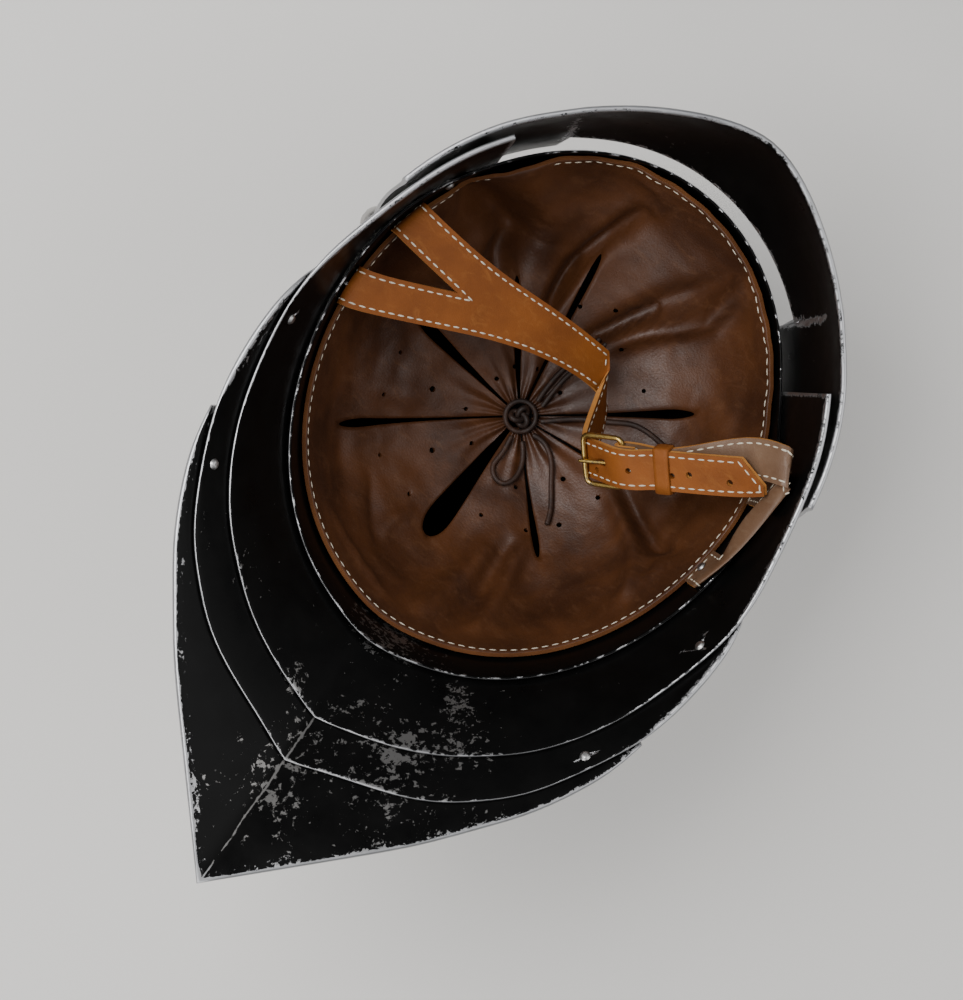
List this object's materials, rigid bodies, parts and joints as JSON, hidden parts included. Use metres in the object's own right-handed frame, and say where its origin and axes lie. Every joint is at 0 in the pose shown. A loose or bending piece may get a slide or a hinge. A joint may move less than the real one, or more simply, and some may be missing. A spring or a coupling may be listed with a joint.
{
  "type": "sallet",
  "caption": "Steel sallet with a lifting visor, flared lames and a pointed tail, leather liner and buckled chin strap, resting on its crown.",
  "frame": {"origin": "middle of the crown's flat, on which the helmet rests upside down", "axes": "+Z from the crown towards the helmet's open side, -Y towards the visor, +Y towards the tail, +X across"},
  "size_m": [0.2644, 0.4261, 0.2201],
  "materials": {
    "steel_plate": "satin outside and on the rolled rims, chipped black paint inside",
    "steel_fittings": "satin",
    "liner_leather": "smooth dark brown",
    "strap_leather": "smooth tan with stitched edges",
    "lace_leather": "dull dark brown",
    "brass": "worn"
  },
  "bodies": {
    "helmet": {"skull": "steel_plate", "lame_1": "steel_plate", "liner": "liner_leather", "lame_rivet_front_left": "steel_fittings", "lame_rivet_front_right": "steel_fittings", "lame_rivet_rear_left": "steel_fittings", "lame_rivet_rear_right": "steel_fittings", "lame_2_pivot_left": "steel_fittings", "lame_2_pivot_right": "steel_fittings", "visor_bolt_left": "steel_fittings", "visor_bolt_right": "steel_fittings", "chin_strap_long": "strap_leather", "chin_strap_buckle": "strap_leather", "strap_keeper": "strap_leather", "buckle_frame": "brass", "buckle_prong": "brass", "lace_tie": "lace_leather", "lace_strand_left": "lace_leather", "lace_strand_right": "lace_leather", "lace_bow": "lace_leather", "lace_end_rear": "lace_leather", "lace_end_side": "lace_leather"},
    "visor": {"visor": "steel_plate"},
    "lame_2": {"lame_2": "steel_plate", "tail_pivot_left": "steel_fittings", "tail_pivot_right": "steel_fittings"},
    "tail": {"tail": "steel_plate"}
  },
  "joints": [
    {"name": "visor_hinge", "type": "hinge", "parent": "helmet", "child": "visor", "pos_m": [0, -0.035, 0.118], "axis": [1, 0, 0], "range_deg": [0, 45]},
    {"name": "lame_2_hinge", "type": "hinge", "parent": "helmet", "child": "lame_2", "pos_m": [0, 0.0287, 0.1784], "axis": [-1, 0, 0], "range_deg": [0, 2.5]},
    {"name": "tail_hinge", "type": "hinge", "parent": "lame_2", "child": "tail", "pos_m": [0, 0.1023, 0.1902], "axis": [-1, 0, 0], "range_deg": [0, 3]}
  ]
}
